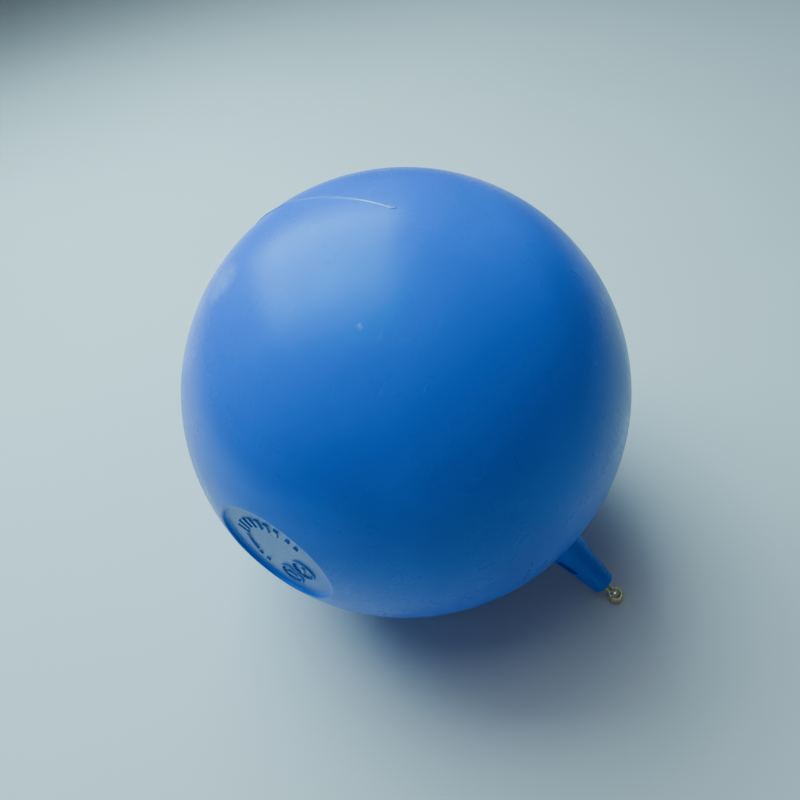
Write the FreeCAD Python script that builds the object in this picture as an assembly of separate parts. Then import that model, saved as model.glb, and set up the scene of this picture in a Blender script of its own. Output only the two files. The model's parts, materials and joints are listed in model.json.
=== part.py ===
import FreeCAD, Part
import math
import os

from FreeCAD import Vector

# A hollow blow-moulded float ball for a tank valve, lying at rest on a level surface.
# It stands on the lowest point of its shell and on the ball end of its brass stud.
#
# Row frame: origin at the shell's lowest point, +Z up, the neck leaning down towards +X,
# and the round foot facing -Y. All lengths are in millimetres and all angles in degrees.
#
# Every piece is first built in the shell's own axes, with the ball's centre at the origin,
# the neck along +X, the foot facing -Y, and the mould's parting plane on XZ.
# lay_down() then turns and lifts the finished piece into the row frame.

# Shell
BALL_RADIUS = 125.0
WALL = 2.2
RELIEF_HEIGHT = 0.9
SUNK = 0.5                    # how far a raised mark reaches into the wall that carries it

# Neck: its side is a long shallow arc through the waist
NECK_END = 172.1              # from the ball's centre to the neck's flat end
NECK_WAIST = 157.0
NECK_ROOT_RADIUS = 14.6       # where the neck leaves the ball
NECK_WAIST_RADIUS = 8.95
NECK_END_RADIUS = 7.35
ROOT_FILLET = 6.0
END_FILLET = 1.8
NECK_HOLLOW_END = 139.0
NECK_HOLLOW_RADII = (9.5, 4.5)

# Pockets that the mould's holding pins leave, one on each side of the parting plane
POCKET_START = 138.0
POCKET_LENGTH = 14.0
POCKET_WIDTH = 5.0
POCKET_FLOOR = 6.6            # from the neck's axis to the pocket's floor

# Round foot: a flat ring around a recess with a raised pattern
FOOT_HALF_ANGLE = 16.1
FOOT_RING_WIDTH = 1.6
RECESS_DEPTH = 2.0
RECESS_DRAFT = 0.3            # how much the recess narrows towards its floor
RECESS_FILLET = 1.8

# Raised marks in the recess; angles run from the neck's side
MARK_RING = (17.5, 24.5)      # inner and outer radius
TICK_ANGLES = (112, 127, 142, 157, 172, 187, 202)
TICK_SWEEP = 7.5
ARC_RING = (18.4, 20.0)
ARC_START = 214
ARC_SWEEP = 40
DOT_ANGLES = (84, 98, 262, 276)
DOT_RADIUS = 1.5
DOT_DISTANCE = 21.5
DIAL_CENTRES = ((15.0, -11.5), (15.0, 4.5))
DIAL_HAND_ANGLES = (40, 115)
DIAL_RING = (5.9, 7.3)
DIAL_HAND_SIZE = (6.4, 2.2)   # length and width
DIAL_TICKS = 12
DIAL_TICK_SIZE = (1.8, 0.8)   # length and width

# Pinch-off ridge on the parting line, centred on the pole opposite the neck
RIDGE_HALF_ARC = 54.5
RIDGE_WIDTH = 2.2
RIDGE_TOP_WIDTH = 0.8
RIDGE_HEIGHT = 0.7

# Brass insert: a hexagonal bar with two turned grooves, moulded into the neck
INSERT_FLATS = 9.0
INSERT_LENGTH = 21.0
INSERT_RECESS = 0.2
GROOVE_RADIUS = 3.95
GROOVE_LENGTH = 3.0
GROOVE_STARTS = (5.0, 12.0)   # from the insert's mouth

# M6 thread, drawn as plain cylinders at its outside diameter
THREAD_RADIUS = 3.0
THREAD_CLEARANCE = 0.05
BORE_DEPTH = 17.0
MOUTH_CHAMFER = 0.5
DRILL_POINT = 118.0

# Ball stud
ENGAGED_LENGTH = 15.0
SHANK_CHAMFER = 0.8
STEM_RADIUS = 2.6
STEM_FREE_LENGTH = 5.6        # from the neck's end to the ball's surface on the axis
STUD_BALL_RADIUS = 5.0

# Worked out from the sizes above
FOOT_RADIUS = BALL_RADIUS * math.sin(math.radians(FOOT_HALF_ANGLE))
FOOT_PLANE = BALL_RADIUS * math.cos(math.radians(FOOT_HALF_ANGLE))
RECESS_RADIUS = FOOT_RADIUS - FOOT_RING_WIDTH
RECESS_FLOOR = FOOT_PLANE - RECESS_DEPTH
INSERT_MOUTH = NECK_END - INSERT_RECESS
STUD_BALL_CENTRE = NECK_END + STEM_FREE_LENGTH + STUD_BALL_RADIUS
LEAN = math.degrees(math.asin((BALL_RADIUS - STUD_BALL_RADIUS) / STUD_BALL_CENTRE))

ORIGIN = Vector(0, 0, 0)
NECK_AXIS = Vector(1, 0, 0)
FOOT_AXIS = Vector(0, -1, 0)


def lay_down(shape):
    """Turn a piece from the shell's own axes into the row frame."""
    shape.rotate(ORIGIN, Vector(0, 1, 0), LEAN)
    shape.translate(Vector(0, 0, BALL_RADIUS))
    return shape


def turned(corners, axis=NECK_AXIS):
    """Turn a closed outline around an axis.

    A corner is a point, or a pair of the point and a point that the arc to the next corner
    passes through.
    """
    pairs = [corner if isinstance(corner, tuple) else (corner, None) for corner in corners]
    edges = []
    for (start, through), (end, _) in zip(pairs, pairs[1:] + pairs[:1]):
        if through is None:
            edges.append(Part.makeLine(start, end))
        else:
            edges.append(Part.Arc(start, through, end).toShape())
    return Part.Face(Part.Wire(edges)).revolve(ORIGIN, axis, 360)


def circles(solid, radius):
    """The round edges of a given radius."""
    near = 0.01
    real = [edge for edge in solid.Edges if not edge.Degenerated]
    round_ones = [edge for edge in real if isinstance(edge.Curve, Part.Circle)]
    return [edge for edge in round_ones if abs(edge.Curve.Radius - radius) < near]


def ball(radius):
    """A ball with its poles on the foot's axis, so that the ridge runs along its equator."""
    sphere = Part.makeSphere(radius)
    sphere.rotate(ORIGIN, Vector(1, 0, 0), 90)
    sphere.rotate(ORIGIN, Vector(0, 1, 0), 90)
    return sphere


def ball_with_neck():
    """The outside of the ball and its neck, before the foot is cut."""
    start = math.sqrt(BALL_RADIUS ** 2 - NECK_ROOT_RADIUS ** 2)
    neck = turned([
        Vector(start - NECK_ROOT_RADIUS, 0, 0),
        Vector(start - NECK_ROOT_RADIUS, NECK_ROOT_RADIUS, 0),
        (Vector(start, NECK_ROOT_RADIUS, 0), Vector(NECK_WAIST, NECK_WAIST_RADIUS, 0)),
        Vector(NECK_END, NECK_END_RADIUS, 0),
        Vector(NECK_END, 0, 0),
    ])
    body = ball(BALL_RADIUS).fuse([neck])
    body = body.makeFillet(ROOT_FILLET, circles(body, NECK_ROOT_RADIUS))
    return body.makeFillet(END_FILLET, circles(body, NECK_END_RADIUS))


def cavity():
    """The sealed air space, which follows the wall behind the foot and ends inside the neck."""
    inner = BALL_RADIUS - WALL
    wide, narrow = NECK_HOLLOW_RADII
    start = math.sqrt(inner ** 2 - wide ** 2)
    tip = Part.makeCone(wide, narrow, NECK_HOLLOW_END - start, Vector(start, 0, 0), NECK_AXIS)
    root = Part.makeCylinder(wide, wide, Vector(start, 0, 0), NECK_AXIS * -1)
    behind_floor = Vector(0, WALL - RECESS_FLOOR, 0)
    backing = Part.makeCylinder(RECESS_RADIUS + WALL, BALL_RADIUS, behind_floor, FOOT_AXIS)
    return ball(inner).cut(backing).fuse([tip, root])


def foot_cutter():
    """What the mould takes off the ball to make the flat ring and the recess."""
    beyond = FOOT_RADIUS + WALL
    floor_radius = RECESS_RADIUS - RECESS_DRAFT
    slice_depth = BALL_RADIUS - FOOT_PLANE + WALL
    slab = Part.makeCylinder(beyond, slice_depth, Vector(0, -FOOT_PLANE, 0), FOOT_AXIS)
    floor_centre = Vector(0, -RECESS_FLOOR, 0)
    recess = Part.makeCone(floor_radius, RECESS_RADIUS, RECESS_DEPTH, floor_centre, FOOT_AXIS)
    recess = recess.makeFillet(RECESS_FILLET, circles(recess, floor_radius))
    return slab.fuse(recess)


def pinch_off_ridge():
    """The low ridge left where the mould pinched the hot tube shut."""
    low = BALL_RADIUS - SUNK
    high = BALL_RADIUS + RIDGE_HEIGHT
    section = Part.makePolygon([
        Vector(-low, -RIDGE_WIDTH / 2, 0),
        Vector(-BALL_RADIUS, -RIDGE_WIDTH / 2, 0),
        Vector(-high, -RIDGE_TOP_WIDTH / 2, 0),
        Vector(-high, RIDGE_TOP_WIDTH / 2, 0),
        Vector(-BALL_RADIUS, RIDGE_WIDTH / 2, 0),
        Vector(-low, RIDGE_WIDTH / 2, 0),
        Vector(-low, -RIDGE_WIDTH / 2, 0),
    ])
    face = Part.Face(section)
    face.rotate(ORIGIN, Vector(0, 1, 0), -RIDGE_HALF_ARC)
    return face.revolve(ORIGIN, Vector(0, 1, 0), 2 * RIDGE_HALF_ARC)


def on_floor(along, across, depth=0.0):
    """A point on the recess's floor: along the neck's direction, and across it."""
    return Vector(along, -RECESS_FLOOR + depth, across)


def raised(face):
    """Raise a mark out of the recess's floor."""
    return face.extrude(FOOT_AXIS * (RELIEF_HEIGHT + SUNK))


def ring_segment(ring, start, sweep):
    """Part of a flat ring around the foot's centre, as a raised mark."""
    inner, outer = ring
    line = Part.makeLine(on_floor(inner, 0, SUNK), on_floor(outer, 0, SUNK))
    face = line.revolve(on_floor(0, 0), Vector(0, 1, 0), -sweep)
    face.rotate(on_floor(0, 0), Vector(0, 1, 0), -start)
    return raised(face)


def dot(angle):
    """A round raised dot in the ring of marks."""
    turn = math.radians(angle)
    centre = on_floor(DOT_DISTANCE * math.cos(turn), DOT_DISTANCE * math.sin(turn), SUNK)
    return Part.makeCylinder(DOT_RADIUS, RELIEF_HEIGHT + SUNK, centre, FOOT_AXIS)


def dial_bar(centre, start, size, angle):
    """A straight raised bar on a line through a dial's centre, from a distance along it."""
    length, width = size
    low, high = -width / 2, width / 2
    corners = [(start, low), (start + length, low), (start + length, high), (start, high)]
    points = [on_floor(along, across, SUNK) for along, across in corners]
    face = Part.Face(Part.makePolygon(points + points[:1]))
    face.rotate(on_floor(0, 0), Vector(0, 1, 0), -angle)
    along, across = centre
    face.translate(Vector(along, 0, across))
    return raised(face)


def dial(centre, hand_angle):
    """One of the mould's date dials: a ring, its ticks and a blunt hand, with no figures."""
    inner, outer = DIAL_RING
    height = RELIEF_HEIGHT + SUNK
    middle = on_floor(*centre, SUNK)
    ring = Part.makeCylinder(outer, height, middle, FOOT_AXIS)
    ring = ring.cut(Part.makeCylinder(inner, height, middle, FOOT_AXIS))
    tick_start = (inner + outer) / 2 - DIAL_TICK_SIZE[0]
    tick_angles = [360 / DIAL_TICKS * i for i in range(DIAL_TICKS)]
    ticks = [dial_bar(centre, tick_start, DIAL_TICK_SIZE, angle) for angle in tick_angles]
    hand = dial_bar(centre, -DIAL_HAND_SIZE[0] / 2, DIAL_HAND_SIZE, hand_angle)
    return [ring.fuse(ticks), hand]


def foot_marks():
    """Generic raised marks: a ring of ticks, an arc, four dots and two date dials."""
    ticks = [ring_segment(MARK_RING, angle, TICK_SWEEP) for angle in TICK_ANGLES]
    arc = ring_segment(ARC_RING, ARC_START, ARC_SWEEP)
    dots = [dot(angle) for angle in DOT_ANGLES]
    first, second = [dial(*place) for place in zip(DIAL_CENTRES, DIAL_HAND_ANGLES)]
    return ticks + [arc] + dots + first + second


def insert_blank():
    """The insert's outside, without its bore."""
    corner_radius = INSERT_FLATS / math.sqrt(3)
    corners = []
    for i in range(7):
        turn = math.radians(60 * i)
        corners.append(Vector(INSERT_MOUTH, corner_radius * math.cos(turn), corner_radius * math.sin(turn)))
    blank = Part.Face(Part.makePolygon(corners)).extrude(NECK_AXIS * -INSERT_LENGTH)
    for start in GROOVE_STARTS:
        place = Vector(INSERT_MOUTH - start, 0, 0)
        around = Part.makeCylinder(INSERT_FLATS, GROOVE_LENGTH, place, NECK_AXIS * -1)
        core = Part.makeCylinder(GROOVE_RADIUS, GROOVE_LENGTH, place, NECK_AXIS * -1)
        blank = blank.cut(around.cut(core))
    return blank


def threaded_insert():
    """The brass insert with its blind threaded hole."""
    radius = THREAD_RADIUS + THREAD_CLEARANCE
    floor = INSERT_MOUTH - BORE_DEPTH
    point = radius / math.tan(math.radians(DRILL_POINT / 2))
    hole = turned([
        Vector(INSERT_MOUTH, 0, 0),
        Vector(floor - point, 0, 0),
        Vector(floor, radius, 0),
        Vector(INSERT_MOUTH - MOUTH_CHAMFER, radius, 0),
        Vector(INSERT_MOUTH, radius + MOUTH_CHAMFER, 0),
    ])
    return insert_blank().cut(hole)


def pocket(side):
    """One holding-pin pocket in the neck; side is -1 towards the foot and 1 away from it."""
    depth = NECK_ROOT_RADIUS
    y_start = POCKET_FLOOR if side > 0 else -POCKET_FLOOR - depth
    corner = Vector(POCKET_START, y_start, -POCKET_WIDTH / 2)
    return Part.makeBox(POCKET_LENGTH, depth, POCKET_WIDTH, corner)


def float_shell():
    """The ball, neck, foot and ridge in one blow-moulded wall."""
    body = ball_with_neck().fuse([pinch_off_ridge()])
    body = body.cut(foot_cutter())
    body = body.fuse(foot_marks())
    body = body.cut([cavity(), insert_blank(), pocket(-1), pocket(1)])
    mouth = Part.makeCylinder(INSERT_FLATS / 2, INSERT_RECESS, Vector(INSERT_MOUTH, 0, 0), NECK_AXIS)
    return body.cut(mouth)


def ball_stud():
    """The brass stud: a threaded shank, a plain stem and a ball."""
    inner_end = INSERT_MOUTH - ENGAGED_LENGTH
    shank = turned([
        Vector(inner_end, 0, 0),
        Vector(inner_end, THREAD_RADIUS - SHANK_CHAMFER, 0),
        Vector(inner_end + SHANK_CHAMFER, THREAD_RADIUS, 0),
        Vector(INSERT_MOUTH, THREAD_RADIUS, 0),
        Vector(INSERT_MOUTH, STEM_RADIUS, 0),
        Vector(STUD_BALL_CENTRE, STEM_RADIUS, 0),
        Vector(STUD_BALL_CENTRE, 0, 0),
    ])
    ball = Part.makeSphere(STUD_BALL_RADIUS, Vector(STUD_BALL_CENTRE, 0, 0))
    return shank.fuse(ball)


def write(name, shape):
    """Save one piece and report what it is."""
    solids = shape.Solids
    if len(solids) != 1 or not shape.isValid():
        raise ValueError(f"{name} must be one valid solid, not {len(solids)}")
    solid = lay_down(solids[0])
    solid.exportStep(f"parts/{name}.step")
    print(name, "volume cm3", round(solid.Volume / 1000, 2))


os.makedirs("parts", exist_ok=True)
write("float_shell", float_shell())
write("threaded_insert", threaded_insert())
write("ball_stud", ball_stud())
print("lean", round(LEAN, 4), "stud ball centre from ball centre", round(STUD_BALL_CENTRE, 3))
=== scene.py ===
import json
import math

import bmesh
import bpy
import numpy as np
from mathutils import Matrix, Quaternion, Vector


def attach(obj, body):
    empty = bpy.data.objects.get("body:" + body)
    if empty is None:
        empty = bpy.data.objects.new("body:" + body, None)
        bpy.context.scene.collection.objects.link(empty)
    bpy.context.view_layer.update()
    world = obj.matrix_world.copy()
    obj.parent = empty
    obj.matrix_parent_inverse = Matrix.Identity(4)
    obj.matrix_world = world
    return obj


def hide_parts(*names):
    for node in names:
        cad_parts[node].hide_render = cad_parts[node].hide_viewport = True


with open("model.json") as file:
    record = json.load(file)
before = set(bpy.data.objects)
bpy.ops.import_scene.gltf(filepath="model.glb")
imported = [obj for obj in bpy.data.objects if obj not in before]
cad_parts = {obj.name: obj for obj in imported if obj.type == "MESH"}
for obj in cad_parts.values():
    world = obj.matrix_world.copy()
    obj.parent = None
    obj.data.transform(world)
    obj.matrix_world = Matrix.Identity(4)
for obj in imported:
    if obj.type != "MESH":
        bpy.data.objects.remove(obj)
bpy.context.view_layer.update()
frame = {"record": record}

# The shapes are made in millimetres in the shell's own axes: the ball's centre at the origin,
# the neck along +X, the foot facing -Y, and the mould's parting plane on XZ.
# lay_down() turns them into the row frame, in metres.

METRE = 0.001

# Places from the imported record
MOUNTS = {mount["name"]: mount for mount in frame["record"]["mounts"]}
NECK_DIRECTION = Vector(MOUNTS["ball_end"]["axis"]).normalized()
FOOT_PLANE = -MOUNTS["foot_ring"]["pos_m"][1] / METRE
FOOT_HALF_ANGLE = math.radians(16.1)      # from the foot's axis to its rim, at the ball's centre
BALL_RADIUS = FOOT_PLANE / math.cos(FOOT_HALF_ANGLE)
BALL_CENTRE = Vector((0, 0, BALL_RADIUS * METRE))
STUD_BALL_CENTRE = (Vector(MOUNTS["ball_end"]["pos_m"]) - BALL_CENTRE).length / METRE

# Round foot
FOOT_RADIUS = BALL_RADIUS * math.sin(FOOT_HALF_ANGLE)
FOOT_RIM_WIDTH = 1.6
RECESS_RADIUS = FOOT_RADIUS - FOOT_RIM_WIDTH
RECESS_DEPTH = 2.0
RECESS_DRAFT = 0.3
RECESS_FILLET = 1.7
FOOT_EDGE_ROUND = 0.45
FOOT_SHOULDER_ROUND = 2.5
RELIEF_HEIGHT = 0.9
RELIEF_RAMP = 0.35
MARKED_RADII = (6.0, 25.2)                # where the floor's mesh is fine enough for the marks
MARKED_STEP = 0.3

# Raised marks, in degrees around the foot's centre from the neck's side, and in millimetres
MARK_RING = (17.5, 24.5)
TICK_ANGLES = (112, 127, 142, 157, 172, 187, 202)
TICK_SWEEP = 7.5
ARC_RING = (18.4, 20.0)
ARC_START = 214
ARC_SWEEP = 40
DOT_ANGLES = (84, 98, 262, 276)
DOT_RADIUS = 1.5
DOT_DISTANCE = 21.5
DIAL_CENTRES = ((15.0, -11.5), (15.0, 4.5))
DIAL_HAND_ANGLES = (40, 115)
DIAL_RING = (5.9, 7.3)
DIAL_HAND_SIZE = (6.4, 2.2)
DIAL_TICKS = 12
DIAL_TICK_SIZE = (1.8, 0.8)

# Pinch-off ridge, centred on the pole opposite the neck
RIDGE_HALF_ARC = math.radians(54.5)
RIDGE_HEIGHT = 0.68
RIDGE_HALF_WIDTH = 1.05
RIDGE_BAND = 2.2                          # how far each side of the parting line the mesh is fine
RIDGE_STEP = 0.15
RIDGE_HOOK = 1.3                          # how far the upper end bends towards the back
RIDGE_HOOK_LENGTH = 2.6

# Sealed air space
WALL = 2.2
NECK_HOLLOW_END = 139.0
NECK_HOLLOW_RADII = (9.5, 4.5)

# Neck
NECK_END = 172.1
NECK_WAIST = 157.0
NECK_ROOT_RADIUS = 14.6
NECK_WAIST_RADIUS = 8.95
NECK_END_RADIUS = 7.35
ROOT_FILLET = 6.0
END_FILLET = 1.8
NECK_PATCH_ANGLE = math.radians(9.0)      # where the neck's own rings take over from the ball's
NECK_PATCH_MARGIN = math.radians(1.8)
POCKET_START = 138.0
POCKET_END = 152.0
POCKET_HALF_WIDTH = 2.5
POCKET_FLOOR = 6.6
POCKET_WALL_SLOPE = 0.25

# Brass insert and ball stud
INSERT_APOTHEM = 4.5
INSERT_LENGTH = 21.0
INSERT_RECESS = 0.2
INSERT_MOUTH = NECK_END - INSERT_RECESS
INSERT_CORNER_CHAMFER = 0.4
SEAT_GAP = 0.001                          # between the insert's skin and the plastic's
GROOVE_RADIUS = 3.95
GROOVES = ((5.0, 8.0), (12.0, 15.0))
BORE_DEPTH = 17.0
PITCH = 1.0
THREAD_CREST = 2.95
THREAD_ROOT = 2.42
THREAD_GAP = 0.06
MOUTH_CHAMFER = 0.5
ENGAGED_LENGTH = 15.0
SHANK_TIP_RADIUS = 1.8
SHANK_SHOULDER = 0.4                      # the plain length between the thread and the stem
THREAD_RUN_IN = 0.9
THREAD_RUN_OUT = 1.1
STEM_RADIUS = 2.6
STEM_NECK_FILLET = 0.9
STUD_BALL_RADIUS = 5.0
STUD_FLAT_ANGLE = math.radians(12)        # the turned flat at the ball's tip
DRILL_TIP = 1.2

# How fine the meshes are
SHARP_ANGLE = math.radians(34)
FOOT_TURNS = 540
BALL_LINE_STEP = 1.2                      # in degrees
BALL_FRONT_RINGS = 36
BALL_BACK_RINGS = 44
CAVITY_TURNS = 96
CAVITY_RINGS = 60
BRASS_TURNS = 72
THREAD_RINGS = 14                         # in one pitch


# --- Placing and joining points -------------------------------------------------------------

SIDE = Vector((0, 1, 0))
ACROSS = NECK_DIRECTION.cross(SIDE)
SHELL_AXES = np.array([NECK_DIRECTION, SIDE, ACROSS])


def lay_down(points):
    """Points in the shell's own axes, in millimetres, turned into the row frame in metres."""
    return np.asarray(points, float) @ SHELL_AXES * METRE + np.array(BALL_CENTRE)


class Skin:
    """Rings of points joined into one closed mesh."""

    def __init__(self):
        self.points = []
        self.faces = []

    def add(self, points):
        """Adds points and returns their numbers."""
        first = len(self.points)
        self.points.extend(map(tuple, points))
        return list(range(first, len(self.points)))

    def join(self, one, other, keep=None):
        """Quads between two rings with the same number of points."""
        for i in range(len(one)):
            j = (i + 1) % len(one)
            if keep is None or keep[i]:
                self.faces.append((one[i], one[j], other[j], other[i]))

    def fan(self, ring, centre):
        """Triangles from a ring to one point."""
        (tip,) = self.add([centre])
        for i in range(len(ring)):
            self.faces.append((ring[i], ring[(i + 1) % len(ring)], tip))

    def zip(self, one, angles_one, other, angles_other):
        """Triangles between two rings whose points both run once around, in rising angle."""
        i = j = 0
        while i < len(one) or j < len(other):
            next_one = angles_one[i + 1] if i + 1 < len(one) else angles_one[0] + math.tau
            next_other = angles_other[j + 1] if j + 1 < len(other) else angles_other[0] + math.tau
            a, b = one[i % len(one)], other[j % len(other)]
            if j >= len(other) or (i < len(one) and next_one <= next_other):
                self.faces.append((a, one[(i + 1) % len(one)], b))
                i += 1
            else:
                self.faces.append((a, other[(j + 1) % len(other)], b))
                j += 1

    def open_ring(self):
        """The points on edges that only one face uses."""
        used = {}
        for face in self.faces:
            for a, b in zip(face, face[1:] + face[:1]):
                key = (min(a, b), max(a, b))
                used[key] = used.get(key, 0) + 1
        return sorted({point for edge, count in used.items() if count == 1 for point in edge})

    def by_angle(self, ring):
        """A ring's points in order of their angle around the neck's axis, and those angles."""
        angles = {n: math.atan2(self.points[n][2], self.points[n][1]) for n in ring}
        ordered = sorted(ring, key=angles.get)
        return ordered, [angles[n] for n in ordered]

    def piece(self, name, cavity_from=None):
        """The finished object, with smooth faces and sharp edges.

        Faces from cavity_from on line a closed hollow, so they face into it.
        """
        mesh = bpy.data.meshes.new(name)
        mesh.from_pydata(lay_down(self.points).tolist(), [], self.faces)
        solid = bmesh.new()
        solid.from_mesh(mesh)
        bmesh.ops.delete(solid, geom=[v for v in solid.verts if not v.link_faces], context="VERTS")
        bmesh.ops.recalc_face_normals(solid, faces=solid.faces)
        if cavity_from is not None:
            bmesh.ops.reverse_faces(solid, faces=list(solid.faces)[cavity_from:])
        solid.to_mesh(mesh)
        solid.free()
        mesh.polygons.foreach_set("use_smooth", [True] * len(mesh.polygons))
        mesh.set_sharp_from_angle(angle=SHARP_ANGLE)
        obj = bpy.data.objects.new(name, mesh)
        bpy.context.scene.collection.objects.link(obj)
        return obj


def around_neck(x, radius, turns):
    """A ring of points around the neck's axis. The radius is a number, or one for each point."""
    return np.stack(
        [np.full(len(turns), x), radius * np.cos(turns), radius * np.sin(turns)], axis=1)


def ease(x):
    """A smooth step from 0 to 1."""
    x = np.clip(x, 0, 1)
    return x * x * (3 - 2 * x)


def arc(centre, radius, start, end, steps):
    """Points on an arc in the plane, from one angle to another, both in radians."""
    turn = np.linspace(start, end, steps)
    return [(centre[0] + radius * math.cos(t), centre[1] + radius * math.sin(t)) for t in turn]


# --- Foot -----------------------------------------------------------------------------------


def bar_inside(u, v, start, size, angle):
    """How deep a point is inside a bar on a line through a dial's centre, which is at 0, 0."""
    length, width = size
    turn = math.radians(angle)
    x = u * math.cos(turn) + v * math.sin(turn)
    y = v * math.cos(turn) - u * math.sin(turn)
    return np.minimum(np.minimum(x - start, start + length - x), width / 2 - abs(y))


def segment_inside(u, v, ring, start, sweep):
    """How deep a point is inside part of a flat ring around the foot's centre."""
    radius = np.hypot(u, v)
    middle = math.radians(start + sweep / 2)
    away = abs((np.arctan2(v, u) - middle + math.pi) % math.tau - math.pi)
    sides = radius * (math.radians(sweep / 2) - away)
    return np.minimum(np.minimum(radius - ring[0], ring[1] - radius), sides)


def relief(u, v):
    """The height of the raised marks at a place on the recess's floor."""
    inside = [segment_inside(u, v, MARK_RING, angle, TICK_SWEEP) for angle in TICK_ANGLES]
    inside.append(segment_inside(u, v, ARC_RING, ARC_START, ARC_SWEEP))
    for angle in DOT_ANGLES:
        turn = math.radians(angle)
        distance = np.hypot(u - DOT_DISTANCE * math.cos(turn), v - DOT_DISTANCE * math.sin(turn))
        inside.append(DOT_RADIUS - distance)
    tick_start = sum(DIAL_RING) / 2 - DIAL_TICK_SIZE[0]
    for (along, across), hand_angle in zip(DIAL_CENTRES, DIAL_HAND_ANGLES):
        x, y = u - along, v - across
        inside.append(np.minimum(np.hypot(x, y) - DIAL_RING[0], DIAL_RING[1] - np.hypot(x, y)))
        for i in range(DIAL_TICKS):
            inside.append(bar_inside(x, y, tick_start, DIAL_TICK_SIZE, 360 / DIAL_TICKS * i))
        inside.append(bar_inside(x, y, -DIAL_HAND_SIZE[0] / 2, DIAL_HAND_SIZE, hand_angle))
    return RELIEF_HEIGHT * ease(np.max(inside, axis=0) / RELIEF_RAMP)


def foot_profile():
    """Radius and height of the foot's rings, from its centre out to the ball's surface."""
    floor = FOOT_PLANE - RECESS_DEPTH
    floor_edge = RECESS_RADIUS - RECESS_DRAFT - RECESS_FILLET
    marks_start, marks_end = MARKED_RADII
    plain = [(r, floor) for r in np.linspace(1.0, marks_start, 6)[:-1]]
    marked = [(r, floor) for r in np.arange(marks_start, marks_end, MARKED_STEP)]
    rest = [(r, floor) for r in np.linspace(marks_end, floor_edge, 5)]
    fillet = arc((floor_edge, floor + RECESS_FILLET), RECESS_FILLET, -math.pi / 2, -0.1, 8)[1:]
    edge_centre = (RECESS_RADIUS + FOOT_EDGE_ROUND, FOOT_PLANE - FOOT_EDGE_ROUND)
    edge = arc(edge_centre, FOOT_EDGE_ROUND, math.pi, math.pi / 2, 5)
    # The shoulder is an arc that touches the flat ring and the ball
    height = FOOT_PLANE - FOOT_SHOULDER_ROUND
    reach = math.sqrt((BALL_RADIUS - FOOT_SHOULDER_ROUND) ** 2 - height ** 2)
    touch = math.atan2(height, reach)
    shoulder = arc((reach, height), FOOT_SHOULDER_ROUND, math.pi / 2, touch, 6)
    return plain + marked + rest, fillet + edge + shoulder


# --- Ball -----------------------------------------------------------------------------------

WAVE_COUNT = 9
WAVE_RATE = 3.2
WAVES = np.random.default_rng(7)
WAVE_DIRECTIONS = WAVES.normal(size=(WAVE_COUNT, 3)) * WAVE_RATE
WAVE_PHASES = WAVES.uniform(0, math.tau, WAVE_COUNT)
SINK_DEPTH = 0.22                         # how far the wall has shrunk in at most
SINK_FROM_FOOT = 17                       # degrees from the axis where the waves begin
SINK_FROM_NECK = 11
SINK_FADE = 14                            # degrees in which they reach their full depth


def sink(directions):
    """How far the thin wall has shrunk in from a true ball, in gentle low waves."""
    waves = np.sin(directions @ WAVE_DIRECTIONS.T + WAVE_PHASES).mean(axis=1)
    from_foot = np.degrees(np.arccos(np.clip(-directions[:, 1], -1, 1)))
    from_neck = np.degrees(np.arccos(np.clip(directions[:, 0], -1, 1)))
    away_from_foot = ease((from_foot - SINK_FROM_FOOT) / SINK_FADE)
    away_from_neck = ease((from_neck - SINK_FROM_NECK) / SINK_FADE)
    return SINK_DEPTH * (0.5 + np.clip(waves, -0.5, 0.5)) * away_from_foot * away_from_neck


def ridge(along, offset):
    """The pinch-off ridge's height.

    along is the angle from its middle, and offset is the distance from the parting line
    towards the back.
    """
    from_end = BALL_RADIUS * (RIDGE_HALF_ARC - abs(along))
    uneven = 0.10 * np.sin(along * 31 + 1.0) + 0.07 * np.sin(along * 83 + 0.4)
    hook = RIDGE_HOOK * ease(1 - from_end / RIDGE_HOOK_LENGTH) * (along > 0)
    centre = 0.10 * np.sin(along * 17) + hook
    width = RIDGE_HALF_WIDTH * (0.86 + uneven * 0.5 + 0.14 * ease(1 - from_end / 12))
    height = RIDGE_HEIGHT * (0.80 + uneven + 0.10 * ease(1 - from_end / 20))
    across = ease(1 - abs(offset - centre) / width)
    return np.clip(height, 0, RIDGE_HEIGHT) * across * ease(from_end / 0.9)


def ball_azimuths():
    """Angles of the mesh's lines around the foot's axis, closer together at the ridge's ends."""
    even = np.radians(np.arange(0, 360, BALL_LINE_STEP))
    ends = [math.pi - RIDGE_HALF_ARC, math.pi + RIDGE_HALF_ARC]
    fine = [end + np.radians(np.arange(-1.6, 1.61, 0.16)) for end in ends]
    near = np.radians(1.75)
    kept = [a for a in even if min(abs(a - end) for end in ends) > near]
    return np.sort(np.concatenate([kept, *fine]))


def ball_angles():
    """Angles of the mesh's rings from the foot's axis, closer together along the parting line."""
    band = RIDGE_BAND / BALL_RADIUS
    gap = math.radians(1.2)
    start = math.asin(FOOT_RADIUS / BALL_RADIUS) + math.radians(1.6)
    front = np.linspace(start, math.pi / 2 - band - gap, BALL_FRONT_RINGS)
    offsets = np.arange(-RIDGE_BAND, RIDGE_BAND + RIDGE_STEP / 2, RIDGE_STEP)
    fine = math.pi / 2 + offsets / BALL_RADIUS
    end = math.pi - math.radians(2)
    back = np.linspace(math.pi / 2 + band + gap, end, BALL_BACK_RINGS)
    return np.concatenate([front, fine, back])


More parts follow.
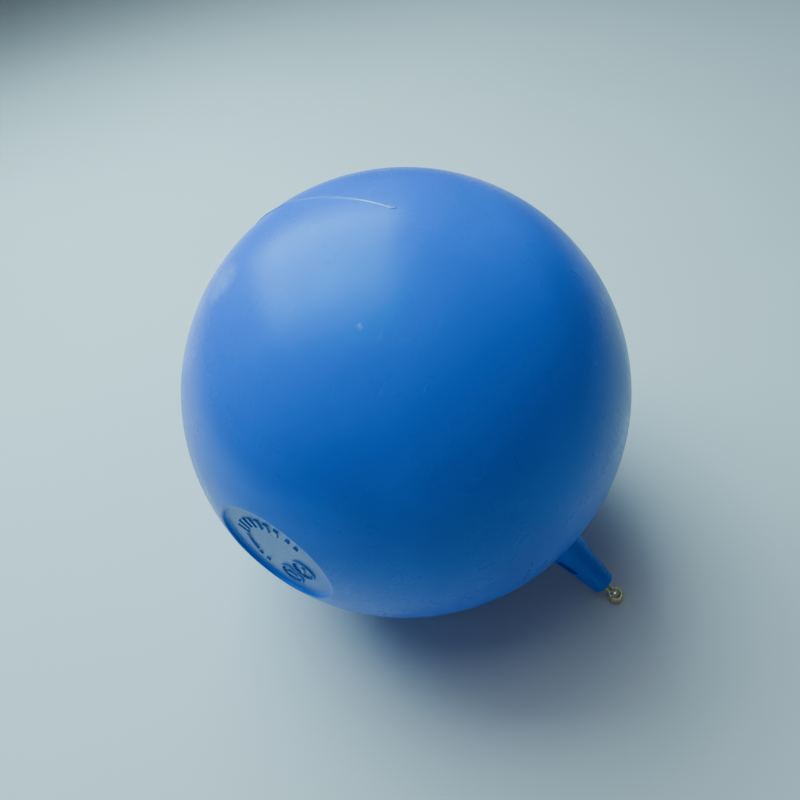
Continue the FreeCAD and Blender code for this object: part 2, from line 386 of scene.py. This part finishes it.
def ball_ring(angle, azimuths):
    """One ring of the ball's skin at an angle from the foot's axis, and how near each of its
    points is to the neck's axis, as a cosine."""
    directions = np.stack([
        math.sin(angle) * np.cos(azimuths),
        np.full(len(azimuths), -math.cos(angle)),
        math.sin(angle) * np.sin(azimuths),
    ], axis=1)
    offset = (angle - math.pi / 2) * BALL_RADIUS
    radius = BALL_RADIUS - sink(directions)
    if abs(offset) <= RIDGE_BAND:
        radius = radius + ridge(math.pi - azimuths, offset)
    return directions * radius[:, None], directions[:, 0]


def add_foot_and_ball(skin):
    """The foot and the ball, with a hole where the neck stands."""
    turns = np.linspace(0, math.tau, FOOT_TURNS, endpoint=False)
    across, along = np.sin(turns), np.cos(turns)
    floor_rings, edge_rings = foot_profile()
    previous = None
    for radius, height in floor_rings + edge_rings:
        u, v = radius * along, radius * across
        lift = relief(u, v) if (radius, height) in floor_rings else np.zeros(len(turns))
        ring = skin.add(np.stack([u, -(height + lift), v], axis=1))
        if previous:
            skin.join(previous, ring)
        else:
            skin.fan(ring, (0, -height, 0))
        previous = ring
    azimuths = ball_azimuths()
    near_neck = math.cos(NECK_PATCH_ANGLE + NECK_PATCH_MARGIN)
    foot_ring = previous
    previous = None
    for angle in ball_angles():
        points, towards_neck = ball_ring(angle, azimuths)
        ring = skin.add(points)
        if previous:
            nearest = np.minimum(towards_neck, last_towards)
            keep = np.minimum(nearest, np.roll(nearest, -1)) < near_neck
            skin.join(previous, ring, keep)
        else:
            skin.zip(foot_ring, turns, ring, azimuths)
        previous, last_towards = ring, towards_neck
    (back_sink,) = sink(np.array([[0.0, 1.0, 0.0]]))
    skin.fan(previous, (0, BALL_RADIUS - back_sink, 0))


# --- Neck -----------------------------------------------------------------------------------


def circle_through(a, b, c):
    """Centre and radius of the circle through three points in the plane."""
    (ax, ay), (bx, by), (cx, cy) = a, b, c
    twice_area = 2 * (ax * (by - cy) + bx * (cy - ay) + cx * (ay - by))
    aa, bb, cc = ax ** 2 + ay ** 2, bx ** 2 + by ** 2, cx ** 2 + cy ** 2
    x = (aa * (by - cy) + bb * (cy - ay) + cc * (ay - by)) / twice_area
    y = (aa * (cx - bx) + bb * (ax - cx) + cc * (bx - ax)) / twice_area
    return (x, y), math.hypot(ax - x, ay - y)


def neck_profile():
    """Distance from the ball's centre, and radius, along the neck's outside."""
    root = (math.sqrt(BALL_RADIUS ** 2 - NECK_ROOT_RADIUS ** 2), NECK_ROOT_RADIUS)
    side_centre, side_radius = circle_through(
        root, (NECK_WAIST, NECK_WAIST_RADIUS), (NECK_END, NECK_END_RADIUS))
    # The root fillet touches the ball from outside, and the side's circle from inside
    reach, inner = BALL_RADIUS + ROOT_FILLET, side_radius - ROOT_FILLET
    apart = math.hypot(*side_centre)
    lean = math.atan2(side_centre[1], side_centre[0])
    turn = math.acos((reach ** 2 + apart ** 2 - inner ** 2) / (2 * reach * apart))
    fillet = (reach * math.cos(lean - turn), reach * math.sin(lean - turn))
    ball_touch = math.atan2(fillet[1], fillet[0])
    side_touch = math.atan2(fillet[1] - side_centre[1], fillet[0] - side_centre[0])
    ball_part = arc((0, 0), BALL_RADIUS, NECK_PATCH_ANGLE, ball_touch, 4)[:-1]
    root_part = arc(fillet, ROOT_FILLET, ball_touch - math.pi, side_touch, 12)
    # The end's rounding touches the side's circle from the body's side, and the end face
    end_x = NECK_END - END_FILLET
    end_reach = side_radius + END_FILLET
    end_r = side_centre[1] - math.sqrt(end_reach ** 2 - (end_x - side_centre[0]) ** 2)
    end_touch = math.atan2(side_centre[1] - end_r, side_centre[0] - end_x)
    side_start = root_part[-1][0]
    side_end = end_x + END_FILLET * math.cos(end_touch)

    def side(x):
        return side_centre[1] - math.sqrt(side_radius ** 2 - (x - side_centre[0]) ** 2)

    slope = POCKET_WALL_SLOPE
    marks = [POCKET_START, POCKET_START + slope, POCKET_END - slope, POCKET_END]
    even = np.arange(side_start + 1.0, side_end - 0.3, 1.0)
    kept = [x for x in even if min(abs(x - mark) for mark in marks) > 0.3]
    side_part = [(x, side(x)) for x in sorted([*kept, *marks])]
    end_part = arc((end_x, end_r), END_FILLET, end_touch, 0, 8)
    return ball_part + root_part + side_part + end_part


def hexagon(turns, apothem):
    """The distance from the axis to a hexagon's outline, with two flats along the parting plane."""
    return apothem / np.cos((turns + math.pi / 6) % (math.pi / 3) - math.pi / 6)


def neck_turns(radius):
    """Angles of the neck's lines: nine cross each pocket at fixed widths, and the rest are even."""
    wall = POCKET_HALF_WIDTH - POCKET_WALL_SLOPE
    widths = np.array([-POCKET_HALF_WIDTH, *np.linspace(-wall, wall, 7), POCKET_HALF_WIDTH])
    cross = np.arcsin(np.clip(widths / radius, -1, 1))
    between = np.linspace(cross[-1], math.pi + cross[0], 30)[1:-1]
    return np.concatenate([cross, between, cross + math.pi, between + math.pi])


def add_neck(skin):
    """The neck, its two pockets, and the hexagonal hole that holds the insert."""
    slope = POCKET_WALL_SLOPE
    previous = None
    for x, radius in neck_profile():
        turns = neck_turns(radius)
        # Angles run from the +Y side, where the back pocket is
        y, z = radius * np.cos(turns), radius * np.sin(turns)
        if POCKET_START + slope / 2 < x < POCKET_END - slope / 2:
            inner = np.abs(z) < POCKET_HALF_WIDTH - slope / 2
            y = np.where(inner, np.clip(y, -POCKET_FLOOR, POCKET_FLOOR), y)
        ring = skin.add(np.stack([np.full(len(turns), x), y, z], axis=1))
        if previous:
            skin.join(previous, ring)
        else:
            hole = [point for point in skin.open_ring() if point < ring[0]]
            skin.zip(*skin.by_angle(hole), *skin.by_angle(ring))
        previous = ring
    turns = neck_turns(INSERT_APOTHEM)
    corners = hexagon(turns, INSERT_APOTHEM) + SEAT_GAP
    seat = [
        (NECK_END, INSERT_APOTHEM + 0.25),
        (NECK_END - 0.1, INSERT_APOTHEM),
        (INSERT_MOUTH, INSERT_APOTHEM),
        (INSERT_MOUTH, corners),
        (INSERT_MOUTH - INSERT_LENGTH, corners),
    ]
    for x, radius in seat:
        ring = skin.add(around_neck(x, radius, turns))
        skin.join(previous, ring)
        previous = ring
    skin.fan(previous, (INSERT_MOUTH - INSERT_LENGTH, 0, 0))


def add_cavity(skin):
    """The inside of the wall, which is flat behind the foot and ends inside the neck."""
    inner = BALL_RADIUS - WALL
    behind_floor = FOOT_PLANE - RECESS_DEPTH - WALL
    wide, narrow = NECK_HOLLOW_RADII
    mouth = math.asin(wide / inner)
    turns = np.linspace(0, math.tau, CAVITY_TURNS, endpoint=False)
    rings = [(math.atan2(narrow, NECK_HOLLOW_END), math.hypot(narrow, NECK_HOLLOW_END))]
    rings += [(angle, inner) for angle in np.linspace(mouth, math.pi - 0.05, CAVITY_RINGS)]
    previous = None
    for angle, reach in rings:
        directions = np.stack([
            np.full(len(turns), math.cos(angle)),
            math.sin(angle) * np.cos(turns),
            math.sin(angle) * np.sin(turns),
        ], axis=1)
        # A line that points at the foot stops at the flat behind it
        towards_foot = np.maximum(-directions[:, 1], 1e-6)
        reach = np.minimum(reach, behind_floor / towards_foot)
        ring = skin.add(directions * reach[:, None])
        if previous:
            skin.join(previous, ring)
        else:
            skin.fan(ring, (NECK_HOLLOW_END, 0, 0))
        previous = ring
    skin.fan(previous, (-inner, 0, 0))


def make_shell():
    """The blow-moulded shell: ball, foot, ridge and neck in one skin, and the cavity inside."""
    skin = Skin()
    add_foot_and_ball(skin)
    add_neck(skin)
    cavity_from = len(skin.faces)
    add_cavity(skin)
    piece = skin.piece("shell_skin", cavity_from)
    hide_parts("float_shell")
    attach(piece, "float")
    return piece


# --- Brass ----------------------------------------------------------------------------------


def thread(x, turns):
    """The radius of a right-hand M6 thread at a place on its axis, around it."""
    phase = (x / PITCH - turns / math.tau) % 1.0
    flank = 1 - abs(phase * 2 - 1)
    return THREAD_ROOT + (THREAD_CREST - THREAD_ROOT) * np.clip(flank * 1.6 - 0.2, 0, 1)


def add_turned(skin, rings):
    """Rings around the neck's axis, joined and closed at both ends.

    A ring is a place on the axis and a radius, which may be a function of the angle.
    """
    turns = np.linspace(0, math.tau, BRASS_TURNS, endpoint=False)
    previous = None
    for x, radius in rings:
        radius = radius(turns) if callable(radius) else radius
        ring = skin.add(around_neck(x, radius, turns))
        if previous:
            skin.join(previous, ring)
        else:
            skin.fan(ring, (x, 0, 0))
        previous = ring
    skin.fan(previous, (rings[-1][0], 0, 0))


def make_stud():
    """The ball stud: a threaded shank, a plain stem with a soft root, and the ball."""
    inner_end = INSERT_MOUTH - ENGAGED_LENGTH
    shank_end = INSERT_MOUTH - SHANK_SHOULDER
    depth = THREAD_CREST - THREAD_ROOT

    def threaded(x):
        run_in = ease((x - inner_end) / THREAD_RUN_IN)
        full = run_in * ease((shank_end - x) / THREAD_RUN_OUT + 0.35)
        limit = THREAD_ROOT - 0.1 + (depth + 0.1) * run_in
        return lambda turns: np.minimum(
            THREAD_ROOT + (thread(x, turns) - THREAD_ROOT) * full, limit)

    rings = [(inner_end, SHANK_TIP_RADIUS)]
    rings += [(x, threaded(x)) for x in np.arange(inner_end, shank_end, PITCH / THREAD_RINGS)]
    # A small chamfer leads from the thread's root out to the stem
    rings += [
        (shank_end + 0.05, THREAD_ROOT),
        (INSERT_MOUTH, STEM_RADIUS - 0.06),
        (INSERT_MOUTH + 0.25, STEM_RADIUS),
    ]
    # A small fillet joins the stem to the ball
    reach = STUD_BALL_RADIUS + STEM_NECK_FILLET
    height = STEM_RADIUS + STEM_NECK_FILLET
    fillet_x = STUD_BALL_CENTRE - math.sqrt(reach ** 2 - height ** 2)
    touch = math.atan2(height, fillet_x - STUD_BALL_CENTRE)
    rings += arc((fillet_x, height), STEM_NECK_FILLET, -math.pi / 2, touch - math.pi, 7)
    rings += arc((STUD_BALL_CENTRE, 0), STUD_BALL_RADIUS, touch, STUD_FLAT_ANGLE, 40)[1:]
    # The flat has a small centre hole
    flat = STUD_BALL_CENTRE + STUD_BALL_RADIUS * math.cos(STUD_FLAT_ANGLE)
    rings += [(flat, 0.7), (flat - 0.25, 0.35)]
    skin = Skin()
    add_turned(skin, rings)
    piece = skin.piece("ball_stud_turned")
    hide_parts("ball_stud")
    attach(piece, "stud")
    return piece


def make_insert():
    """The brass insert: a chamfered hexagon with two grooves and a threaded blind hole."""
    deep = INSERT_MOUTH - INSERT_LENGTH
    round_off = INSERT_APOTHEM * 2 / math.sqrt(3) - INSERT_CORNER_CHAMFER

    def flats(limit):
        return lambda turns: np.minimum(hexagon(turns, INSERT_APOTHEM), limit)

    whole = flats(math.inf)
    rings = [(deep, flats(round_off)), (deep + INSERT_CORNER_CHAMFER, whole)]
    for start, end in reversed(GROOVES):
        rings += [
            (INSERT_MOUTH - end, whole),
            (INSERT_MOUTH - end, GROOVE_RADIUS),
            (INSERT_MOUTH - start, GROOVE_RADIUS),
            (INSERT_MOUTH - start, whole),
        ]
    wide = THREAD_CREST + THREAD_GAP
    rings += [
        (INSERT_MOUTH - INSERT_CORNER_CHAMFER, whole),
        (INSERT_MOUTH, flats(round_off)),
        (INSERT_MOUTH, wide + 0.4),
    ]

    def bore(x):
        mouth = ease((x - INSERT_MOUTH + MOUTH_CHAMFER) / MOUTH_CHAMFER)
        return lambda turns: np.maximum(thread(x, turns) + THREAD_GAP, wide * mouth)

    floor = INSERT_MOUTH - BORE_DEPTH
    drilled = THREAD_ROOT + THREAD_GAP
    threaded = np.arange(INSERT_MOUTH - 0.2, floor + 1.0, -PITCH / THREAD_RINGS)
    rings += [(x, bore(x)) for x in threaded]
    rings += [(floor + 0.9, drilled), (floor, drilled), (floor - DRILL_TIP, 0.4)]
    skin = Skin()
    add_turned(skin, rings)
    piece = skin.piece("insert_threaded")
    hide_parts("threaded_insert")
    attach(piece, "float")
    return piece


# --- Materials ------------------------------------------------------------------------------


class Nodes:
    """A material's node tree, with short ways to add and link nodes."""

    def __init__(self, name):
        self.material = bpy.data.materials.new(name)
        self.material.use_nodes = True
        self.tree = self.material.node_tree
        self.shader = self.tree.nodes["Principled BSDF"]
        self.place = self.tree.nodes.new("ShaderNodeTexCoord").outputs["Object"]

    def set(self, socket, value):
        """Links a socket to another, or gives it a value."""
        if isinstance(value, bpy.types.NodeSocket):
            self.tree.links.new(value, socket)
        else:
            socket.default_value = value

    def scaled(self, size):
        """The place on the object, stretched by three numbers."""
        node = self.tree.nodes.new("ShaderNodeMapping")
        node.inputs["Scale"].default_value = size
        self.set(node.inputs["Vector"], self.place)
        return node.outputs["Vector"]

    def noise(self, scale, detail=2.0, roughness=0.5, distortion=0.0, vector=None):
        """Noise from 0 to 1 over the object, or over another vector."""
        node = self.tree.nodes.new("ShaderNodeTexNoise")
        for name, value in (("Scale", scale), ("Detail", detail), ("Roughness", roughness),
                            ("Distortion", distortion)):
            node.inputs[name].default_value = value
        self.set(node.inputs["Vector"], vector or self.place)
        return node.outputs["Fac"]

    def band(self, value, low, high, to_low=0.0, to_high=1.0):
        """A value's stretch from low to high, mapped to two others with a smooth step."""
        node = self.tree.nodes.new("ShaderNodeMapRange")
        node.interpolation_type = "SMOOTHSTEP"
        for name, number in (("From Min", low), ("From Max", high),
                             ("To Min", to_low), ("To Max", to_high)):
            node.inputs[name].default_value = number
        self.set(node.inputs["Value"], value)
        return node.outputs["Result"]

    def math(self, operation, one, other=0.0):
        """One or two numbers through a Math node."""
        node = self.tree.nodes.new("ShaderNodeMath")
        node.operation = operation
        self.set(node.inputs[0], one)
        self.set(node.inputs[1], other)
        return node.outputs["Value"]

    def mix(self, share, one, other):
        """A colour between two others."""
        node = self.tree.nodes.new("ShaderNodeMix")
        node.data_type = "RGBA"
        self.set(node.inputs["Factor"], share)
        self.set(node.inputs["A"], one)
        self.set(node.inputs["B"], other)
        return node.outputs["Result"]

    def vector_math(self, operation, one, other=None, output="Value"):
        """One socket and, for some operations, three fixed numbers through a Vector Math node."""
        node = self.tree.nodes.new("ShaderNodeVectorMath")
        node.operation = operation
        self.set(node.inputs[0], one)
        if other is not None:
            node.inputs[1].default_value = other
        return node.outputs[output]

    def near(self, point, reach):
        """1 at a point on the object, falling to 0 at a distance in metres."""
        return self.band(self.vector_math("DISTANCE", self.place, point), 0.0, reach, 1.0, 0.0)

    def from_centre(self):
        """The place, measured from the ball's centre."""
        return self.vector_math("SUBTRACT", self.place, BALL_CENTRE, "Vector")

    def towards(self, direction):
        """How far the place is from the ball's centre along a direction, in metres."""
        return self.vector_math("DOT_PRODUCT", self.from_centre(), direction)

    def outward(self):
        """How far the place stands out of a true ball, in metres."""
        distance = self.vector_math("LENGTH", self.from_centre())
        return self.math("SUBTRACT", distance, BALL_RADIUS * METRE)

    def bump(self, height, strength, distance, normal=None):
        """A normal with a height's bumps, on top of another normal where one is given."""
        node = self.tree.nodes.new("ShaderNodeBump")
        node.inputs["Strength"].default_value = strength
        node.inputs["Distance"].default_value = distance
        self.set(node.inputs["Height"], height)
        if normal:
            self.set(node.inputs["Normal"], normal)
        return node.outputs["Normal"]


def on_ball(from_foot, from_neck):
    """A point on the ball's surface, by its angle from the foot's axis, and its angle around
    that axis from the neck, both in degrees."""
    a, b = math.radians(from_foot), math.radians(from_neck)
    direction = [math.sin(a) * math.cos(b), -math.cos(a), math.sin(a) * math.sin(b)]
    return tuple(lay_down([np.array(direction) * BALL_RADIUS])[0])


BLUE = (0.015, 0.145, 0.740, 1)
BLUE_PALE = (0.018, 0.165, 0.820, 1)
BLUE_DEEP = (0.012, 0.128, 0.660, 1)
SCUFF = (0.25, 0.50, 0.88, 1)
# A grey reflection painted into the foot's recess
PAINTED_RECESS_REFLECTION = (0.17, 0.22, 0.28, 1)
# The nick's pale mark, and also a painted highlight along the ridge's crest
NICK_PALE_AND_CREST_HIGHLIGHT = (0.62, 0.80, 0.95, 1)

# Marks on the ball: the angle from the foot's axis, the angle around it from the neck, and
# the reach in metres
RUB_PLACE = (66.4, 162)
RUB_REACH = 0.028
NICK_PLACE = (62.9, 116)
NICK_REACH = 0.0048


def painted_crest_highlight(n):
    """Where a highlight is painted along the pinch-off ridge's crest, most of all near its ends.

    The bands are in metres: outwards from a true ball, and from its centre towards the neck.
    """
    raised = n.band(n.outward(), 0.00006, 0.00030)
    far_side = n.band(n.towards(NECK_DIRECTION), -0.03, -0.06)
    patchy = n.band(n.noise(55, detail=4), 0.30, 0.62, 0.55, 1.0)
    near_ends = n.band(n.towards(NECK_DIRECTION), -0.102, -0.079, 0.15, 1.0)
    crest = n.math("MULTIPLY", raised, far_side)
    return n.math("MULTIPLY", n.math("MULTIPLY", crest, patchy), near_ends)


def plastic():
    """Glossy blown polyethylene: cloudy pigment, soft flow lines, scuffs and a faint grain, with a
    grey reflection painted into the foot's recess and a highlight painted along the ridge's crest.
    """
    n = Nodes("float_plastic_blue")
    cloud = n.noise(9, detail=3, distortion=0.6)
    flow = n.noise(22, detail=4, distortion=1.2, vector=n.scaled((1, 0.25, 1)))
    colour = n.mix(n.band(cloud, 0.35, 0.68), BLUE_DEEP, BLUE_PALE)
    colour = n.mix(n.band(flow, 0.45, 0.75, 0.0, 0.35), colour, BLUE)
    # Fine hair scratches, gathered where the float has been handled
    handled = n.band(n.noise(14, detail=4, roughness=0.6), 0.50, 0.66)
    hair = n.noise(1, detail=3, roughness=0.7, vector=n.scaled((300, 22, 40)))
    hair = n.math("MULTIPLY", n.band(hair, 0.64, 0.72), handled)
    hair = n.math("MULTIPLY", hair, 0.22)
    # A rubbed patch beside the parting line, opposite the neck
    rub = n.noise(170, detail=8, roughness=0.75, distortion=1.5)
    rub = n.math("MULTIPLY", n.near(on_ball(*RUB_PLACE), RUB_REACH), rub)
    rub = n.band(rub, 0.25, 0.55, 0.0, 0.5)
    # One small nick on the upper side
    nick = n.noise(520, detail=6, roughness=0.75, distortion=1.0)
    nick = n.math("MULTIPLY", n.near(on_ball(*NICK_PLACE), NICK_REACH), nick)
    nick = n.band(nick, 0.32, 0.62, 0.0, 0.40)
    # A patchy grey reflection is painted over the foot's recess
    recess_reflection = n.band(n.noise(70, detail=5, roughness=0.6), 0.30, 0.65, 0.25, 0.50)
    recess_reflection = n.math("MULTIPLY", n.band(n.outward(), -0.0022, -0.0032), recess_reflection)
    colour = n.mix(recess_reflection, colour, PAINTED_RECESS_REFLECTION)
    colour = n.mix(n.math("MAXIMUM", hair, rub), colour, SCUFF)
    # The nick's pale mark, and a painted highlight along the ridge's crest, in the same pale colour
    colour = n.mix(n.math("MAXIMUM", nick, painted_crest_highlight(n)), colour, NICK_PALE_AND_CREST_HIGHLIGHT)
    n.set(n.shader.inputs["Base Color"], colour)
    smudge = n.noise(30, detail=5, roughness=0.65, distortion=0.4)
    roughness = n.band(smudge, 0.30, 0.75, 0.25, 0.36)
    roughness = n.math("ADD", roughness, n.math("MULTIPLY", rub, 0.15))
    n.set(n.shader.inputs["Roughness"], roughness)
    n.shader.inputs["IOR"].default_value = 1.51
    n.shader.inputs["Specular IOR Level"].default_value = 0.36
    n.shader.inputs["Specular Tint"].default_value = (0.05, 0.72, 1.0, 1)
    # A fine grain, soft dimples and the nick's own roughness
    normal = n.bump(n.noise(260, detail=3), 0.10, 0.0002)
    normal = n.bump(n.noise(60, detail=2), 0.12, 0.0006, normal)
    n.set(n.shader.inputs["Normal"], n.bump(nick, 0.15, 0.0001, normal))
    return n.material


STUD_BRIGHT = (0.92, 0.78, 0.46, 1)
STUD_DULL = (0.72, 0.59, 0.32, 1)
INSERT_BRIGHT = (0.66, 0.49, 0.22, 1)
INSERT_DULL = (0.52, 0.38, 0.17, 1)
TARNISH = (0.045, 0.035, 0.018, 1)
TOOL_MARK_PITCH = 0.00022


def brass(name, bright, dull, tarnish_share):
    """Turned brass with tool marks, dull patches and darker tarnish. More of its surface is
    tarnished as the share goes from 0 to 1."""
    n = Nodes(name)
    patch = n.noise(260, detail=5, roughness=0.6, distortion=0.5)
    colour = n.mix(n.band(patch, 0.35, 0.65), bright, dull)
    stain = n.noise(520, detail=6, roughness=0.7)
    clean_below = 0.70 - 0.25 * tarnish_share
    stain = n.band(stain, clean_below, clean_below + 0.16)
    colour = n.mix(n.math("MULTIPLY", stain, 0.75), colour, TARNISH)
    n.set(n.shader.inputs["Base Color"], colour)
    n.shader.inputs["Metallic"].default_value = 1.0
    roughness = n.band(patch, 0.3, 0.7, 0.18, 0.34)
    n.set(n.shader.inputs["Roughness"], n.math("ADD", roughness, n.math("MULTIPLY", stain, 0.25)))
    # Tool marks run around the axis
    along = n.math("MULTIPLY", n.towards(NECK_DIRECTION), math.tau / TOOL_MARK_PITCH)
    turned = n.math("SINE", along)
    height = n.math("MULTIPLY", turned, n.noise(900, detail=2))
    n.set(n.shader.inputs["Normal"], n.bump(height, 0.10, 0.00002))
    return n.material


FLOOR_LOW = (0.88, 0.745, 0.69, 1)
FLOOR_HIGH = (0.92, 0.775, 0.72, 1)


def pale_floor():
    """A plain matt floor with a very faint unevenness."""
    n = Nodes("floor_pale")
    shade = n.band(n.noise(3, detail=4), 0.3, 0.7)
    n.set(n.shader.inputs["Base Color"], n.mix(shade, FLOOR_LOW, FLOOR_HIGH))
    n.shader.inputs["Roughness"].default_value = 0.75
    n.shader.inputs["Specular IOR Level"].default_value = 0.2
    return n.material


# --- Floor, lights and camera ---------------------------------------------------------------

FLOOR_HALF_SIZE = 8.0


def make_floor():
    """The plain pale floor that the float lies on."""
    far = FLOOR_HALF_SIZE
    corners = [(-far, -far, 0), (far, -far, 0), (far, far, 0), (-far, far, 0)]
    mesh = bpy.data.meshes.new("floor")
    mesh.from_pydata(corners, [], [(0, 1, 2, 3)])
    floor = bpy.data.objects.new("floor", mesh)
    bpy.context.scene.collection.objects.link(floor)
    mesh.materials.append(pale_floor())


def area_light(name, direction, distance, size, watts, colour, turn=0):
    """A square soft light that faces the ball from a direction.

    The turn is in degrees about the line from the light to the ball.
    """
    light = bpy.data.lights.new(name, "AREA")
    light.shape = "SQUARE"
    light.size = size
    light.energy = watts
    light.color = colour
    lamp = bpy.data.objects.new(name, light)
    bpy.context.scene.collection.objects.link(lamp)
    direction = Vector(direction).normalized()
    own_turn = Quaternion((0, 0, 1), math.radians(turn))
    lamp.location = BALL_CENTRE + direction * distance
    lamp.rotation_mode = "QUATERNION"
    lamp.rotation_quaternion = direction.to_track_quat("Z", "Y") @ own_turn


# The surroundings are a little lighter on one side
LIT_SIDE = Vector((-0.75, 0.05, 0.65)).normalized()
DIM_SURROUNDINGS = (0.04, 0.062, 0.062, 1)
LIT_SURROUNDINGS = (0.10, 0.15, 0.20, 1)


def make_world():
    """Dim even surroundings that fade from one side to the other."""
    world = bpy.data.worlds.new("studio")
    world.use_nodes = True
    tree = world.node_tree
    place = tree.nodes.new("ShaderNodeTexCoord").outputs["Generated"]
    facing = tree.nodes.new("ShaderNodeVectorMath")
    facing.operation = "DOT_PRODUCT"
    facing.inputs[1].default_value = LIT_SIDE
    tree.links.new(place, facing.inputs[0])
    fade = tree.nodes.new("ShaderNodeMapRange")
    fade.interpolation_type = "SMOOTHSTEP"
    fade.inputs["From Min"].default_value = -0.6
    fade.inputs["From Max"].default_value = 0.7
    tree.links.new(facing.outputs["Value"], fade.inputs["Value"])
    shade = tree.nodes.new("ShaderNodeMix")
    shade.data_type = "RGBA"
    shade.inputs["A"].default_value = DIM_SURROUNDINGS
    shade.inputs["B"].default_value = LIT_SURROUNDINGS
    tree.links.new(fade.outputs["Result"], shade.inputs["Factor"])
    tree.links.new(shade.outputs["Result"], tree.nodes["Background"].inputs["Color"])
    bpy.context.scene.world = world


def make_lights():
    """Two soft panels, tinted like a clear sky."""
    area_light("sky_panel", (-0.58, 0.14, 0.80), distance=1.0, size=0.95, watts=22,
               colour=(0.38, 0.83, 1.0), turn=45)
    area_light("overhead", (-0.18, -0.12, 0.97), distance=1.3, size=0.8, watts=6,
               colour=(0.55, 0.82, 1.0))


CAMERA_AZIMUTH = math.radians(39.6)
CAMERA_ELEVATION = math.radians(46.2)
CAMERA_ROLL = math.radians(10.0)
CAMERA_DISTANCE = 0.3925
CAMERA_LENS = 30.24
CAMERA_SHIFT = (-0.0076, -0.0096)
CAMERA_CLIP = (0.01, 50)


def make_camera():
    """The camera looks down on the ball from its foot's side, with a slight roll."""
    a, e, roll = CAMERA_AZIMUTH, CAMERA_ELEVATION, CAMERA_ROLL
    back = Vector((math.sin(a) * math.cos(e), -math.cos(a) * math.cos(e), math.sin(e)))
    level = Vector((math.cos(a), math.sin(a), 0))
    upright = back.cross(level)
    right = level * math.cos(roll) - upright * math.sin(roll)
    up = back.cross(right)
    camera = bpy.data.cameras.new("camera")
    camera.lens = CAMERA_LENS
    camera.shift_x, camera.shift_y = CAMERA_SHIFT
    camera.clip_start, camera.clip_end = CAMERA_CLIP
    seat = bpy.data.objects.new("camera", camera)
    bpy.context.scene.collection.objects.link(seat)
    turned = Matrix((right, up, back)).transposed().to_4x4()
    seat.matrix_world = Matrix.Translation(BALL_CENTRE + back * CAMERA_DISTANCE) @ turned
    bpy.context.scene.camera = seat


# --- The scene ------------------------------------------------------------------------------

shell = make_shell()
shell.data.materials.append(plastic())
stud = make_stud()
stud.data.materials.append(brass("stud_brass_aged", STUD_BRIGHT, STUD_DULL, 0.6))
insert = make_insert()
insert.data.materials.append(
    brass("insert_brass_machined", INSERT_BRIGHT, INSERT_DULL, 0.2))
make_floor()
make_world()
make_lights()
make_camera()
